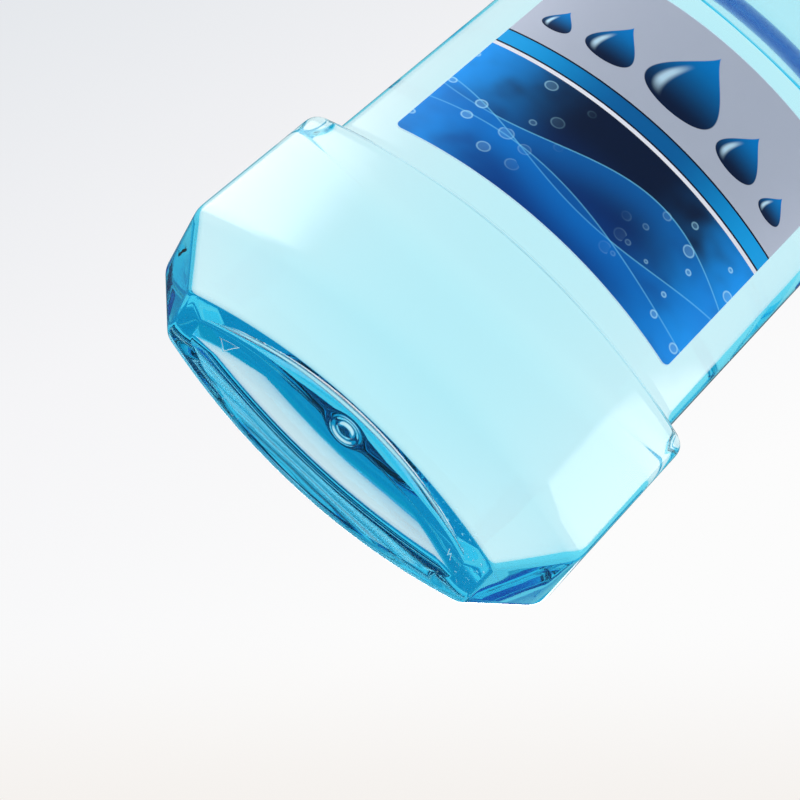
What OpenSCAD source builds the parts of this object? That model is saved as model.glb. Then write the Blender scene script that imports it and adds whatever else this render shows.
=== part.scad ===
/* [Body] */
// Width of the base block and of the upper block
body_w = 98; // [94:0.5:106]
// Depth of both blocks at the middle of the curved front
body_d = 46; // [44:0.5:53]
// How far the blocks' front and back curve out past the flat ends
body_bulge = 12.6; // [9:0.1:14]
// Radius of the blocks' upright corners
body_corner_r = 3.5; // [2:0.1:6]
// Height of the crease where the tapered skirt ends
crease_z = 13.4; // [9:0.1:18]
// Height of the base block's top at the front, where the label panel starts
base_block_z = 50.9; // [44:0.1:60]
// How much higher the base block's top lies at the back than at the front
block_rise = 5.5; // [0:0.1:8]
// Height of the label panel from the base block to the ledge
panel_h = 91.2; // [88:0.2:110]
// Height of the sloped ledge above the label panel
ledge_h = 4.6; // [3:0.1:8]
// Height of the upper block's straight sides
upper_block_h = 16; // [12:0.5:30]
// Height of the shoulder from the upper block to the neck
shoulder_h = 21; // [16:0.5:30]
// Thickness of the blown wall
wall = 0.6; // [0.5:0.05:0.9]
// How much thicker the wall has become where it meets the neck
neck_thicken = 1; // [0.8:0.1:1.4]

/* [Foot] */
// How far the bottom outline lies in from the body's ends
foot_end_inset = 11; // [8:0.1:14]
// How far the bottom outline lies in from the body's front and back
foot_front_inset = 6.8; // [4:0.1:8]
// How far the bottom outline's front and back curve out
foot_bulge = 8.5; // [6:0.1:10]
// Radius of the bottom outline's corners
foot_corner_r = 2.8; // [1.5:0.1:4]
// How far the hollow pushed up into the bottom lies in from the outline's ends
hollow_end_inset = 5; // [4:0.1:9]
// How far the hollow lies in from the outline's front and back
hollow_front_inset = 4.4; // [4:0.1:7]
// Height of the hollow at its middle
hollow_h = 5.7; // [3:0.1:8]
// Radius of the gate mark in the middle of the hollow
gate_r = 1.7; // [0.8:0.1:2.4]
// How far the gate mark stands out
gate_h = 0.4; // [0.2:0.05:0.6]

/* [Label panel] */
// How far the waisted label panel steps in from the body's ends
panel_end_inset = 4.9; // [3:0.1:7]
// How far the panel steps in from the body's front and back
panel_front_inset = 3.3; // [2:0.1:5]
// How far the panel's front and back curve out past its flat ends
panel_bulge = 11.1; // [8:0.1:12.5]
// Radius of the panel's upright corners
panel_corner_r = 4.5; // [2:0.1:6]
// Distance from the front label's sides to the panel's ends, measured straight across
label_end_margin = 7.2; // [6.5:0.1:20]
// The same distance for the back label, which is narrower
back_label_margin = 13.1; // [6.5:0.1:24]
// Height of the front label's lower edge above the base block's top
label_rise = 9.7; // [6:0.1:20]
// Height of the back label's lower edge above the base block's top
back_label_rise = 34.6; // [12:0.1:60]
// Distance from both labels' upper edges to the ledge
label_drop = 7.1; // [4:0.1:20]
// Radius of a label's corners
label_corner_r = 1.6; // [1:0.1:4]
// Thickness of a label with its glue
label_t = 0.12; // [0.08:0.01:0.2]

/* [Edges] */
// Rounding of the bottom edge
foot_edge_r = 2; // [1:0.1:3]
// Rounding of the crease above the skirt
crease_edge_r = 2.6; // [1:0.1:4]
// Rounding of the base block's top edge
block_edge_r = 3.2; // [2:0.1:4.2]
// Fillet between the base block's top and the label panel
block_fillet_r = 4; // [1:0.1:6]
// Rounding at the sloped ledge
ledge_edge_r = 2.6; // [1:0.1:2.8]

/* [Neck] */
// Radius of the mouth
bore_r = 13.4; // [11:0.1:14]
// Wall of the neck at the root of its thread
neck_wall = 1.8; // [1.4:0.1:2.6]
// Height of the neck finish above the support ring
finish_h = 18; // [17:0.1:20]
// How far the support ring stands out of the neck
support_depth = 4; // [3.6:0.1:5.8]
// Thickness of the support ring
support_t = 1.8; // [1.2:0.1:2.5]
// Height of the plain stub below the support ring
stub_h = 1.6; // [1:0.1:4]
// Distance from one thread turn to the next
thread_pitch = 4; // [3.8:0.1:4.4]
// How far the thread stands out of the neck
thread_depth = 1.2; // [0.9:0.05:1.3]
// Turns of the neck's thread
neck_turns = 1.5; // [1.2:0.05:1.6]
// Distance from the mouth's rim down to the middle of the thread's start
thread_drop = 2.6; // [2.2:0.1:3]
// How far the tamper bead stands out of the neck
bead_depth = 1.1; // [0.7:0.05:1.2]

/* [Cap] */
// Thickness of the cap's side wall under its grip ribs
cap_wall = 1.5; // [1.2:0.05:2]
// Thickness of the cap's top
cap_top_t = 1.6; // [1.2:0.1:2.4]
// Depth of the grip ribs
rib_depth = 0.6; // [0.4:0.05:0.8]
// Number of grip ribs
rib_count = 72; // [48:4:96]
// Height of the smooth crown above the grip ribs
crown_h = 3.2; // [2.4:0.1:5]
// Rounding of the crown's upper edge
crown_edge_r = 1; // [0.5:0.1:1.2]
// Turns of the cap's thread
cap_turns = 1.1; // [0.8:0.05:1.2]
// Thickness of the sealing liner
liner_t = 1; // [0.8:0.05:1.4]
// Height of the tamper band left on the neck
band_h = 3.4; // [3:0.1:3.8]
// Height of the band's inner lip, which the bead holds down
lip_h = 1.2; // [0.8:0.1:1.4]

/* [Dosing cup] */
// Wall of the dosing cup
cup_wall = 1; // [0.8:0.05:1.4]
// Height of the cup's mouth above the cap's lower edge
cup_mouth_rise = 1.6; // [0.8:0.1:4]
// Height of the narrower measuring part above the cap
cup_measure_h = 15; // [12:0.2:24]
// Width of the inner ledge that rests on the cap's top
cup_ledge = 2.2; // [1.9:0.1:3]
// How much the measuring part narrows towards its closed end
cup_draft = 1.2; // [0.6:0.1:2]
// Width of the sloped edge at the cup's closed end
cup_edge = 1.6; // [1.2:0.1:2.4]
// How far the lip round the cup's mouth stands out
cup_lip = 0.6; // [0.3:0.1:1]

/* [Fits] */
// Gap between the neck's thread and the cap's, and around the band and the liner
thread_clear = 0.3; // [0.2:0.05:0.4]
// Running fit of the cup over the cap's ribs
cup_fit = 0.05; // [0.02:0.01:0.1]
// Gap where the band was torn from the cap
tear_gap = 0.5; // [0.4:0.05:0.8]
// Gap between the liquid and the bottle's wall
liquid_gap = 0.1; // [0.05:0.05:0.2]
// Share of the shoulder's height that the liquid fills
fill_share = 0.35; // [0.05:0.05:0.6]

/* [Hidden] */
$fn = 96;

// Steps round each corner and along each quarter of the curved front
corner_steps = 3;
arc_steps = 6;
// Rings in each rounded edge, in the shoulder and in the bottom hollow
edge_steps = 4;
shoulder_steps = 9;
hollow_steps = 5;
// The most of the run to the next level that a rounding takes up
edge_share = 0.48;
// Steps of a thread in one turn, the share of a turn over which it fades out, and the
// share of its depth that is left where it ends inside the wall
turn_steps = 36;
fade_share = 0.12;
end_share = 0.1;
// How far solids that are joined run into each other
overrun = 0.4;

// Heights of the main levels
panel_top_z = base_block_z + panel_h;
upper_block_z = panel_top_z + ledge_h;
shoulder_z = upper_block_z + upper_block_h;
neck_base_z = shoulder_z + shoulder_h;
support_z = neck_base_z + stub_h;
finish_z = support_z + support_t;
rim_z = finish_z + finish_h;
cap_top_z = rim_z + liner_t + cap_top_t;
band_top_z = finish_z + band_h;
cap_z = band_top_z + tear_gap;
cap_h = cap_top_z - cap_z;
cup_mouth_z = cap_z + cup_mouth_rise;
cup_top_z = cap_top_z + cup_measure_h;

// The neck's radius at the root of its thread, and its support ring's
neck_r = bore_r + neck_wall;
support_r = neck_r + support_depth;

// The threads: the cap's ridge lies under the neck's, a clearance apart
ridge_base_w = 1.8;
ridge_crest_w = 0.8;
cap_bore_r = neck_r + thread_depth + thread_clear;
cap_root_r = cap_bore_r + cap_wall;
cap_r = cap_root_r + rib_depth;
cap_ridge_r = neck_r + thread_clear;
ridge_step = (ridge_base_w + ridge_crest_w) / 2 + thread_clear;
thread_z = rim_z - thread_drop - thread_pitch * neck_turns;
stub_r = neck_r + thread_depth + overrun;
// The tamper bead's sloped top ends just above the band
bead_h = 1.6;
bead_z = band_top_z + thread_clear - bead_h;
band_r = cap_root_r;

// A section is [half width, half depth, front radius, corner radius]
body_section = section(body_w / 2, body_d / 2, body_bulge, body_corner_r);
foot_section = section(
    body_w / 2 - foot_end_inset, body_d / 2 - foot_front_inset, foot_bulge, foot_corner_r
);
panel_section = section(
    body_w / 2 - panel_end_inset, body_d / 2 - panel_front_inset, panel_bulge, panel_corner_r
);
// The neck's root is nearly round: its front radius and corners are shares of its radius
neck_front_share = 1.08;
neck_corner_share = 0.8;
root_r = stub_r + overrun / 2;
neck_section = [root_r, root_r, root_r * neck_front_share, root_r * neck_corner_share];
// The hollow's bulge and corners are shares of its half depth
hollow_bulge_share = 0.66;
hollow_corner_share = 0.3;
hollow_depth = foot_section[1] - hollow_front_inset;
hollow_section = section(
    foot_section[0] - hollow_end_inset, hollow_depth,
    hollow_depth * hollow_bulge_share, hollow_depth * hollow_corner_share
);
// The dome's power: above 2 it is flatter in the middle than a parabola
dome_power = 2.4;
// Where the bottom edge's rounding meets the flat ring that the bottle stands on
rest_section = shrink(foot_section, foot_edge_r);

function mix(a, b, t) = a + (b - a) * t;

// A section from its half sizes and its bulge. Its corners stay within the flat ends
function section(half_w, half_d, bulge, corner_r) = [
    half_w, half_d, (pow(half_w, 2) + pow(bulge, 2)) / (2 * bulge), min(corner_r, half_d - bulge)
];

// A section moved inwards on all sides
function shrink(s, by) = [s[0] - by, s[1] - by, s[2] - by, max(s[3] - by, s[3] / 4)];

// One quarter of a section's outline: a corner arc, then the long front arc
function quarter(s) =
    let (
        mid_y = s[1] - s[2],
        corner = [s[0] - s[3], mid_y + sqrt(pow(s[2] - s[3], 2) - pow(s[0] - s[3], 2))],
        turn = atan2(corner.y - mid_y, corner.x)
    )
    concat(
        [for (i = [0 : corner_steps])
            corner + s[3] * [cos(turn * i / corner_steps), sin(turn * i / corner_steps)]],
        [for (i = [1 : arc_steps])
            let (a = mix(turn, 90, i / arc_steps))
            [s[2] * cos(a), mid_y + s[2] * sin(a)]]
    );

// The whole outline of a section, all round
function outline(s) =
    let (q = quarter(s), n = len(q))
    concat(
        q,
        [for (i = [n - 2 : -1 : 0]) [-q[i].x, q[i].y]],
        [for (p = q) [-p.x, -p.y]],
        [for (i = [n - 2 : -1 : 0]) [q[i].x, -q[i].y]]
    );

// A level is [height, section, rise], where its rise lifts it from its front to its
// back. This rounds the edge at level b on the way from a to c
function rounded(a, b, c, r, steps) =
    let (
        run_a = norm([a[0] - b[0], a[1][0] - b[1][0]]),
        run_c = norm([c[0] - b[0], c[1][0] - b[1][0]]),
        from = blend(b, a, min(r / run_a, edge_share)),
        to = blend(b, c, min(r / run_c, edge_share))
    )
    [for (i = [0 : steps])
        let (t = i / steps)
        blend(blend(from, b, t), blend(b, to, t), t)];
function blend(a, b, t) = [mix(a[0], b[0], t), mix(a[1], b[1], t), mix(a[2], b[2], t)];

// One level's ring of points
function ring_points(level) = [for (p = outline(level[1]))
    [p.x, p.y, level[0] + level[2] * (1 + sin(90 * p.y / body_section[1])) / 2]];

// The shoulder falls in along half a wave from the upper block to the neck
function shoulder_level(t) = [
    mix(shoulder_z, neck_base_z, t),
    mix(body_section, neck_section, (1 - cos(180 * pow(t, 1.15))) / 2),
    0
];

// The hollow in the bottom, from its middle out to its edge
function hollow_level(t, lift) = [
    hollow_h * (1 - pow(t, dome_power)) + lift,
    hollow_section * t,
    0
];

// Moves a level inwards by a wall: rise is how far its height goes up for that wall
function inner_level(level, by, rise) = [level[0] + by * rise, shrink(level[1], by), level[2]];

rest_level = [0, rest_section, 0];
foot_level = [0, foot_section, 0];
crease_level = [crease_z, body_section, 0];
block_top_level = [base_block_z, body_section, block_rise];
panel_low_level = [base_block_z, panel_section, block_rise];
panel_high_level = [panel_top_z, panel_section, 0];
upper_low_level = [upper_block_z, body_section, 0];

// The outside, from the middle of the bottom up to the neck
outside = concat(
    [for (i = [1 : hollow_steps]) hollow_level(i / hollow_steps, 0)],
    rounded(rest_level, foot_level, crease_level, foot_edge_r, edge_steps),
    rounded(foot_level, crease_level, block_top_level, crease_edge_r, edge_steps),
    rounded(crease_level, block_top_level, panel_low_level, block_edge_r, edge_steps),
    rounded(block_top_level, panel_low_level, panel_high_level, block_fillet_r, edge_steps),
    rounded(panel_low_level, panel_high_level, upper_low_level, ledge_edge_r, edge_steps),
    rounded(panel_high_level, upper_low_level, shoulder_level(0), ledge_edge_r, edge_steps),
    [for (i = [0 : shoulder_steps]) shoulder_level(i / shoulder_steps)]
);

// The inside below the shoulder, one wall thickness or more in from the outside
function inside_low(by) = concat(
    [for (i = [1 : hollow_steps]) hollow_level(i / hollow_steps, by)],
    [inner_level(rest_level, by, 1)],
    [inner_level(blend(foot_level, crease_level, foot_edge_r / crease_z), by, 1)],
    rounded(
        inner_level(foot_level, by, 1), inner_level(crease_level, by, 0),
        inner_level(block_top_level, by, -1), crease_edge_r, 2
    ),
    rounded(
        inner_level(crease_level, by, 0), inner_level(block_top_level, by, -1),
        inner_level(panel_low_level, by, -1), block_edge_r, edge_steps - 1
    ),
    rounded(
        inner_level(block_top_level, by, -1), inner_level(panel_low_level, by, -1),
        inner_level(panel_high_level, by, 0), block_fillet_r, edge_steps - 1
    ),
    rounded(
        inner_level(panel_low_level, by, -1), inner_level(panel_high_level, by, 0),
        inner_level(upper_low_level, by, 0), ledge_edge_r, 2
    ),
    rounded(
        inner_level(panel_high_level, by, 0), inner_level(upper_low_level, by, 0),
        inner_level(shoulder_level(0), by, 0), ledge_edge_r, 2
    )
);
function inside_shoulder(by, top_share) =
    [for (i = [0 : shoulder_steps])
        let (t = top_share * i / shoulder_steps)
        inner_level(shoulder_level(t), by + neck_thicken * t, 0)];

function reversed(list) = [for (i = [len(list) - 1 : -1 : 0]) list[i]];

// A closed skin over rings of levels, ended by a point below the first and one at the last
module skin(levels, start_z, end_z) {
    ring = len(outline(levels[0][1]));
    rings = len(levels);
    points = concat(
        [for (level = levels) each ring_points(level)],
        [[0, 0, start_z], [0, 0, end_z]]
    );
    sides = [for (j = [0 : rings - 2]) for (i = [0 : ring - 1])
        let (a = j * ring + i, b = j * ring + (i + 1) % ring)
        each [[a, b + ring, b], [a, a + ring, b + ring]]];
    start = [for (i = [0 : ring - 1]) [rings * ring, i, (i + 1) % ring]];
    last = (rings - 1) * ring;
    end = [for (i = [0 : ring - 1]) [rings * ring + 1, last + (i + 1) % ring, last + i]];
    polyhedron(points = points, faces = concat(sides, start, end), convexity = 10);
}

// A right-handed helical ridge from radius r_base to r_crest, standing out or in. Its
// middle is at low_z where it starts
module ridge(r_base, r_crest, low_z, turns) {
    steps = round(turns * turn_steps);
    side = sign(r_crest - r_base);
    half_base = side * ridge_base_w / 2;
    half_crest = side * ridge_crest_w / 2;
    points = [for (i = [0 : steps])
        let (
            a = 360 * turns * i / steps,
            z = low_z + thread_pitch * turns * i / steps,
            ends = min(i, steps - i) / (turn_steps * fade_share),
            crest = mix(r_base, r_crest, max(end_share, min(ends, 1)))
        )
        each [
            [r_base * cos(a), r_base * sin(a), z - half_base],
            [crest * cos(a), crest * sin(a), z - half_crest],
            [crest * cos(a), crest * sin(a), z + half_crest],
            [r_base * cos(a), r_base * sin(a), z + half_base]
        ]];
    sides = [for (i = [0 : steps - 1]) for (k = [0 : 3])
        let (a = 4 * i + k, b = 4 * i + (k + 1) % 4)
        each [[a, b, b + 4], [a, b + 4, a + 4]]];
    ends = [
        [2, 1, 0], [3, 2, 0],
        [4 * steps, 4 * steps + 1, 4 * steps + 2], [4 * steps, 4 * steps + 2, 4 * steps + 3]
    ];
    polyhedron(points = points, faces = concat(sides, ends), convexity = 10);
}

// The blown bottle: its shell in one skin, and the moulded neck finish on top
module bottle() {
    color("paleturquoise") {
        skin(concat(outside, reversed(inside_shoulder(wall, 1)), reversed(inside_low(wall))),
            hollow_h, hollow_h + wall);
        neck_finish();
        ridge(neck_r - overrun, neck_r + thread_depth, thread_z, neck_turns);
        translate([0, 0, hollow_h - gate_h]) cylinder(r = gate_r, h = gate_h + wall / 2, $fn = 32);
    }
}

module neck_finish() {
    rotate_extrude() polygon([
        [bore_r, neck_base_z - overrun],
        [stub_r, neck_base_z - overrun],
        [stub_r, support_z],
        [support_r, support_z],
        [support_r, finish_z],
        [neck_r, finish_z],
        [neck_r, bead_z],
        [neck_r + bead_depth, bead_z],
        [neck_r, bead_z + bead_h],
        [neck_r, rim_z],
        [bore_r, rim_z]
    ]);
}

// The mouthwash fills the inside up to a flat level in the shoulder
module mouthwash() {
    color("deepskyblue") {
        levels = concat(inside_low(wall + liquid_gap), inside_shoulder(wall + liquid_gap, fill_share));
        skin(levels, hollow_h + wall + liquid_gap, levels[len(levels) - 1][0]);
    }
}

// A label is a thin sheet with rounded corners that lies on the panel's curved face
module label(rise, margin) {
    low_z = base_block_z + rise;
    label_w = 2 * (panel_section[0] - margin);
    label_h = panel_h - rise - label_drop;
    corner_x = label_w / 2 - label_corner_r;
    intersection() {
        translate([0, 0, low_z]) linear_extrude(label_h) difference() {
            polygon(outline(shrink(panel_section, -label_t)));
            polygon(outline(panel_section));
        }
        translate([0, body_d, 0]) rotate([90, 0, 0]) linear_extrude(body_d) union() {
            for (x = [-corner_x, corner_x]) for (z = [label_corner_r, label_h - label_corner_r])
                translate([x, low_z + z]) circle(r = label_corner_r, $fn = 24);
            translate([-corner_x, low_z]) square([2 * corner_x, label_h]);
            translate([-label_w / 2, low_z + label_corner_r])
                square([label_w, label_h - 2 * label_corner_r]);
        }
    }
}

module front_label() {
    color("lightsteelblue") rotate([0, 0, 180]) label(label_rise, label_end_margin);
}

module back_label() {
    color("lightsteelblue") label(back_label_rise, back_label_margin);
}

// The band that tore off the cap stands on the support ring. The neck's bead holds
// down its inner lip
module tamper_band() {
    lip_r = neck_r + thread_clear;
    inner_r = neck_r + bead_depth + thread_clear;
    color("white") rotate_extrude() polygon([
        [lip_r, finish_z],
        [band_r, finish_z],
        [band_r, band_top_z],
        [inner_r, band_top_z],
        [inner_r, finish_z + lip_h],
        [lip_r, finish_z + lip_h]
    ]);
}

// The foam disc between the mouth's rim and the cap's top
module cap_liner() {
    color("whitesmoke") translate([0, 0, rim_z]) cylinder(r = cap_bore_r - thread_clear, h = liner_t);
}

// The screw cap: a ribbed skirt and smooth crown, with a helical ridge inside
module screw_cap() {
    color("white") {
        difference() {
            union() {
                translate([0, 0, cap_z]) linear_extrude(cap_h - crown_h) ribbed_outline();
                crown();
            }
            translate([0, 0, cap_z - overrun])
                cylinder(r = cap_bore_r, h = rim_z + liner_t - cap_z + overrun);
        }
        ridge(cap_bore_r + overrun, cap_ridge_r, thread_z - ridge_step, cap_turns);
    }
}

module ribbed_outline() {
    step = 360 / rib_count;
    // A rib's flanks and crest, as shares of the step from one rib to the next
    rib_shares = [[0.15, 0], [0.35, 1], [0.65, 1], [0.85, 0]];
    polygon([for (i = [0 : rib_count - 1]) for (share = rib_shares)
        let (a = step * (i + share[0]), r = cap_root_r + rib_depth * share[1])
        [r * cos(a), r * sin(a)]]);
}

module crown() {
    edge_z = cap_top_z - crown_edge_r;
    flat_r = cap_root_r - crown_edge_r;
    rotate_extrude() {
        translate([0, cap_top_z - crown_h - overrun])
            square([cap_root_r, crown_h + overrun - crown_edge_r]);
        translate([0, edge_z]) square([flat_r, crown_edge_r]);
        intersection() {
            translate([flat_r, edge_z]) circle(r = crown_edge_r);
            translate([flat_r, edge_z]) square(crown_edge_r);
        }
    }
}

// The clear dosing cup stands upside down on the cap: a wide mouth, an inner ledge
// that rests on the cap's top, and a narrower measuring part with a closed end
module dosing_cup() {
    mouth_r = cap_r + cup_fit;
    low_r = mouth_r - cup_ledge;
    high_r = low_r - cup_draft;
    color("azure") rotate_extrude() polygon([
        [mouth_r, cup_mouth_z],
        [mouth_r + cup_wall + cup_lip, cup_mouth_z],
        [mouth_r + cup_wall + cup_lip, cup_mouth_z + cup_lip],
        [mouth_r + cup_wall, cup_mouth_z + 2 * cup_lip],
        [mouth_r + cup_wall, cap_top_z + cup_wall / 2],
        [mouth_r + cup_wall / 2, cap_top_z + cup_wall],
        [low_r + cup_wall, cap_top_z + cup_wall],
        [high_r + cup_wall, cup_top_z - cup_edge],
        [high_r + cup_wall - cup_edge, cup_top_z],
        [0, cup_top_z],
        [0, cup_top_z - cup_wall],
        [high_r + cup_wall - cup_edge, cup_top_z - cup_wall],
        [high_r, cup_top_z - cup_edge],
        [low_r, cap_top_z],
        [mouth_r, cap_top_z]
    ]);
}

bottle();
mouthwash();
front_label();
back_label();
tamper_band();
cap_liner();
screw_cap();
dosing_cup();
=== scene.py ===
from math import atan2, cos, hypot, pi, sin, sqrt

import bmesh
import bpy
from mathutils import Matrix, Vector


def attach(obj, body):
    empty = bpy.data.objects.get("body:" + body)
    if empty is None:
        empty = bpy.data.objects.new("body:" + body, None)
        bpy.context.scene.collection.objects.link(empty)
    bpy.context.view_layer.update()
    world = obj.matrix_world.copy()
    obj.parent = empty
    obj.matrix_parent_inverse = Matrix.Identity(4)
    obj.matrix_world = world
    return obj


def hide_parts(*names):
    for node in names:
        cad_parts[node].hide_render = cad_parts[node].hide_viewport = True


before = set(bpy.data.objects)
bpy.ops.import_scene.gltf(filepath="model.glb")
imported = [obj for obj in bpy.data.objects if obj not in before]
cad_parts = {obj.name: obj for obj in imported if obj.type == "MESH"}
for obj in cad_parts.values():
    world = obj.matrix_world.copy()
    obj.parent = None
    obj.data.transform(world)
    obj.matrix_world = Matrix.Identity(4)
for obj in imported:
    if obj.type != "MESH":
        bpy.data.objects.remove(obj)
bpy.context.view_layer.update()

# The bottle: one blown skin of clear PET with its moulded neck, from the hollow in the
# bottom up over the outside, over the mouth's rim and down the inside. Where mouthwash
# wets the inside, a material of its own bends light as the joint of PET and liquid does.

# Lengths are in millimetres. The outlines each have a half width, a half depth, how far the
# front bulges, and a corner radius
BODY = (49.0, 23.0, 12.6, 3.5)
FOOT = (38.0, 16.2, 8.5, 2.8)
HOLLOW = (33.6, 15.0, 11.2, 3.6)
PANEL = (44.1, 19.7, 11.1, 4.5)
CREASE_Z, BLOCK_Z, PANEL_Z, UPPER_Z = 13.4, 50.9, 142.1, 146.7
SHOULDER_Z, NECK_Z, SUPPORT_Z, FINISH_Z, RIM_Z = 162.7, 183.7, 185.3, 187.1, 205.1
LEDGE_RISE, BACK_SLOPE = 5.5, 3.0
FOOT_EDGE_R, CREASE_R, BLOCK_EDGE_R, PANEL_FOOT_R, LEDGE_EDGE_R = 1.1, 2.6, 3.2, 4, 2.6
HOLLOW_RISE, HOLLOW_POWER, HOLLOW_STEPS, GATE_R, GATE_H = 6.2, 2.9, 20, 3.8, 0.34
WALL, NECK_THICKER = 0.6, 1.0
NECK_R, BORE_R, STUB_R, SUPPORT_R, BEAD_Z = 15.2, 13.4, 16.8, 19.2, 189.2
THREAD_PITCH, THREAD_DEPTH, THREAD_Z, THREAD_TURNS = 4.0, 1.2, 196.5, 1.5
PET_IOR, LIQUID_IOR = 1.39, 1.34


def mix(a, b, t):
    return a + (b - a) * t


def smooth(t):
    t = min(max(t, 0.0), 1.0)
    return t * t * (3 - 2 * t)


def section(half_w, half_d, bulge, corner_r):
    """Half width, half depth, front radius and corner radius of one outline."""
    return (half_w, half_d, (half_w**2 + bulge**2) / (2 * bulge), min(corner_r, half_d - bulge))


def shrink(s, by):
    return (s[0] - by, s[1] - by, s[2] - by, max(s[3] - by, s[3] / 4))


def blend(a, b, t):
    """A level is (height, section, rise). This is the one that lies between two others."""
    between = tuple(mix(p, q, t) for p, q in zip(a[1], b[1]))
    return (mix(a[0], b[0], t), between, mix(a[2], b[2], t))


def outline(s, corner=9, arc=16):
    """The points of a section all round, from the middle of the +X end."""
    mid = s[1] - s[2]
    cx = s[0] - s[3]
    cy = mid + sqrt((s[2] - s[3]) ** 2 - cx**2)
    turn = atan2(cy - mid, cx)
    quarter = [(s[0], 0.0), (s[0], cy * 0.55), (s[0], cy * 0.9)]
    for i in range(corner + 1):
        a = turn * i / corner
        quarter.append((cx + s[3] * cos(a), cy + s[3] * sin(a)))
    for i in range(1, arc + 1):
        a = mix(turn, pi / 2, i / arc)
        quarter.append((s[2] * cos(a), mid + s[2] * sin(a)))
    ring = quarter + [(-x, y) for x, y in quarter[-2::-1]]
    return ring + [(x, -y) for x, y in ring[-2:0:-1]]


RING = len(outline(section(*BODY)))


def circle(r, count=RING):
    return [(r * cos(2 * pi * i / count), r * sin(2 * pi * i / count)) for i in range(count)]


def rounded(a, b, c, r, steps=8):
    """Levels round the edge at b, on the way from a to c, with a holding level each side."""
    run_a = hypot(a[0] - b[0], a[1][0] - b[1][0])
    run_c = hypot(c[0] - b[0], c[1][0] - b[1][0])
    near, far = min(r / run_a, 0.48), min(r / run_c, 0.48)
    start, end = blend(b, a, near), blend(b, c, far)
    hold = min(0.6 / r, 0.12)
    levels = [blend(b, a, near * (1 + hold))] if near < 0.45 else []
    for i in range(steps + 1):
        t = i / steps
        levels.append(blend(blend(start, b, t), blend(b, end, t), t))
    return levels + ([blend(b, c, far * (1 + hold))] if far < 0.45 else [])


def shoulder_level(t):
    """The shoulder falls in along half a wave from the upper block to the neck's root."""
    root = STUB_R + 0.2
    neck = (root, root, root * 1.08, root * 0.8)
    s = blend((0, section(*BODY), 0), (0, neck, 0), (1 - cos(pi * t**1.15)) / 2)[1]
    return (mix(SHOULDER_Z, NECK_Z, t), s)


def rings_of(levels):
    """Each level's ring of points. A level's own rise lifts it from its front to its back,
    and what it has over the ledge's rise lifts its back half alone."""
    rings = []
    for z, s, rise in levels:
        ring = []
        for x, y in outline(s):
            back = sin(pi / 2 * y / BODY[1])
            tilt = min(rise, LEDGE_RISE) * (1 + back) / 2
            ring.append((x, y, z + tilt + max(rise - LEDGE_RISE, 0) * max(back, 0) ** 2))
        rings.append(ring)
    return rings


def shoulder_rings(by):
    """The shoulder's rings, which turn from the body's outline into circles at the neck."""
    rings = []
    for i in range(21):
        t = i / 20
        z, s = shoulder_level(t)
        s = shrink(s, by + NECK_THICKER * t) if by else s
        round_share = smooth((t - 0.45) / 0.5)
        ring = []
        for (x, y), (cx, cy) in zip(outline(s), circle(s[0])):
            ring.append((mix(x, cx, round_share), mix(y, cy, round_share), z))
        rings.append(ring)
    return rings


def hollow_height(x, y, reach):
    """The height of the hollow's face over a point, where the hollow's outline lies at reach
    from the middle. Its level lines are ellipses near the middle and the outline at the edge."""
    far = hypot(x, y)
    oval = far / hypot(x / HOLLOW[0], y / HOLLOW[1])
    share = 2 * far / (oval + sqrt(oval**2 + 4 * (reach - oval) * far))
    return HOLLOW_RISE * (1 - min(share, 1.0) ** HOLLOW_POWER)


def hollow_rings(lift):
    """The pushed-up hollow: round at its gate mark, with the bottom's outline at its edge."""
    edge = outline(section(*HOLLOW))
    # The gate mark's rings: the radius of each, and how far it stands out
    gate = [(0.5, GATE_H), (1.0, 0.36), (1.45, 0.36), (1.7, 0.2), (1.95, 0.0), (2.3, -0.05)]
    gate += [(2.7, 0.0), (3.0, 0.16), (3.25, 0.2), (3.5, 0.1), (GATE_R, 0.0)]
    steps = [(r, 0.0, drop) for r, drop in gate]
    for k in range(1, HOLLOW_STEPS + 1):
        steps.append((GATE_R, 1 - (1 - k / HOLLOW_STEPS) ** 1.5, 0.0))
    rings = []
    for r, outward, drop in steps:
        ring = []
        for x, y in edge:
            reach = hypot(x, y)
            share = mix(r, reach, outward) / reach
            z = hollow_height(x * share, y * share, reach) - (0 if lift else drop)
            ring.append((x * share, y * share, z + lift))
        rings.append(ring)
    return rings


def solid(name, points, faces, kinds, materials):
    """An object from points in millimetres, smooth but for its edges over 40 degrees."""
    mesh = bpy.data.meshes.new(name)
    mesh.from_pydata([Vector(p) / 1000 for p in points], [], faces)
    for kind, polygon in zip(kinds, mesh.polygons):
        polygon.material_index = kind
        polygon.use_smooth = True
    for material in materials:
        mesh.materials.append(material)
    turned = bmesh.new()
    turned.from_mesh(mesh)
    bmesh.ops.recalc_face_normals(turned, faces=turned.faces)
    for edge in turned.edges:
        edge.smooth = edge.calc_face_angle(0) < 0.7
    turned.to_mesh(mesh)
    turned.free()
    piece = bpy.data.objects.new(name, mesh)
    bpy.context.scene.collection.objects.link(piece)
    return piece


def lofted(name, rings, caps, materials, material_of=lambda j: 0):
    """A piece over rings of points. A point in caps closes each end, or the last ring the
    first where there are none."""
    count = len(rings[0])
    points = [p for ring in rings for p in ring] + list(caps)
    faces, kinds = [], []
    for j in range(len(rings) - (1 if caps else 0)):
        above = (j + 1) % len(rings) * count
        for i in range(count):
            k = (i + 1) % count
            faces.append((j * count + i, j * count + k, above + k, above + i))
            kinds.append(material_of(j))
    last = (len(rings) - 1) * count
    for i in range(count if caps else 0):
        faces.append((len(points) - 2, (i + 1) % count, i))
        faces.append((len(points) - 1, last + i, last + (i + 1) % count))
        kinds += [material_of(-1), material_of(len(rings))]
    return solid(name, points, faces, kinds, materials)


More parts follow.
